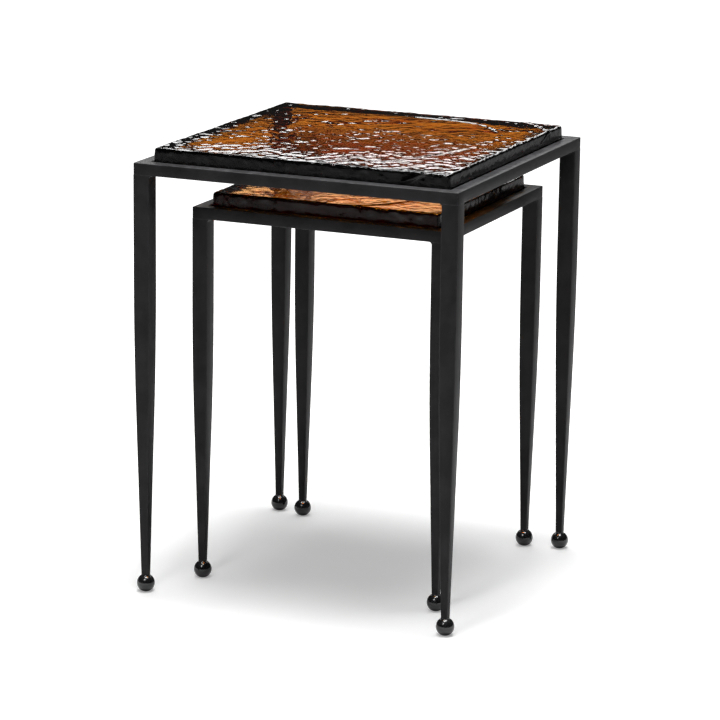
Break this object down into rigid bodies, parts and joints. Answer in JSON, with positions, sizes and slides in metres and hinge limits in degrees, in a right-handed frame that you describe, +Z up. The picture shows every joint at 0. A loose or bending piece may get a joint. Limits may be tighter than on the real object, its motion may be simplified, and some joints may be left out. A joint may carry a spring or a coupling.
{
  "type": "nesting side tables",
  "caption": "Nest of square side tables: slim black iron frames on tapered legs with ball feet, thick amber cast-glass tops let into the frames.",
  "frame": {"origin": "on the floor, under the middle of the large table's four feet", "axes": "+Z up; +Y to the back of the nest, so the small table draws out along -Y; +X to the right as seen from the front"},
  "size_m": [0.462, 0.456, 0.608],
  "materials": {
    "satin_black_iron": "satin black powder coat over forged bar",
    "gloss_black_ball": "gloss black enamel",
    "black_ledge_strip": "satin black",
    "amber_cast_glass": "thick amber glass, cast, rippled top",
    "clear_bumper": "soft clear bumper"
  },
  "bodies": {
    "outer_table": {"outer_rail_front": "satin_black_iron", "outer_rail_back": "satin_black_iron", "outer_rail_left": "satin_black_iron", "outer_rail_right": "satin_black_iron", "outer_leg_front_left": "satin_black_iron", "outer_leg_front_right": "satin_black_iron", "outer_leg_back_left": "satin_black_iron", "outer_leg_back_right": "satin_black_iron", "outer_ball_foot_front_left": "gloss_black_ball", "outer_ball_foot_front_right": "gloss_black_ball", "outer_ball_foot_back_left": "gloss_black_ball", "outer_ball_foot_back_right": "gloss_black_ball", "outer_ledge_front": "black_ledge_strip", "outer_ledge_back": "black_ledge_strip", "outer_ledge_left": "black_ledge_strip", "outer_ledge_right": "black_ledge_strip", "outer_glass_pads": "clear_bumper"},
    "outer_glass": {"outer_glass_top": "amber_cast_glass"},
    "inner_table": {"inner_rail_front": "satin_black_iron", "inner_rail_back": "satin_black_iron", "inner_rail_left": "satin_black_iron", "inner_rail_right": "satin_black_iron", "inner_leg_front_left": "satin_black_iron", "inner_leg_front_right": "satin_black_iron", "inner_leg_back_left": "satin_black_iron", "inner_leg_back_right": "satin_black_iron", "inner_ball_foot_front_left": "gloss_black_ball", "inner_ball_foot_front_right": "gloss_black_ball", "inner_ball_foot_back_left": "gloss_black_ball", "inner_ball_foot_back_right": "gloss_black_ball", "inner_ledge_front": "black_ledge_strip", "inner_ledge_back": "black_ledge_strip", "inner_ledge_left": "black_ledge_strip", "inner_ledge_right": "black_ledge_strip", "inner_glass_pads": "clear_bumper"},
    "inner_glass": {"inner_glass_top": "amber_cast_glass"}
  },
  "joints": [
    {"name": "inner_table_slide", "type": "slide", "parent": "outer_table", "child": "inner_table", "axis": [0, -1, 0], "range_m": [-0.5, 0.5]},
    {"name": "outer_glass_lift", "type": "slide", "parent": "outer_table", "child": "outer_glass", "axis": [0, 0, 1], "range_m": [0, 0.05]},
    {"name": "inner_glass_lift", "type": "slide", "parent": "inner_table", "child": "inner_glass", "axis": [0, 0, 1], "range_m": [0, 0.03]}
  ]
}
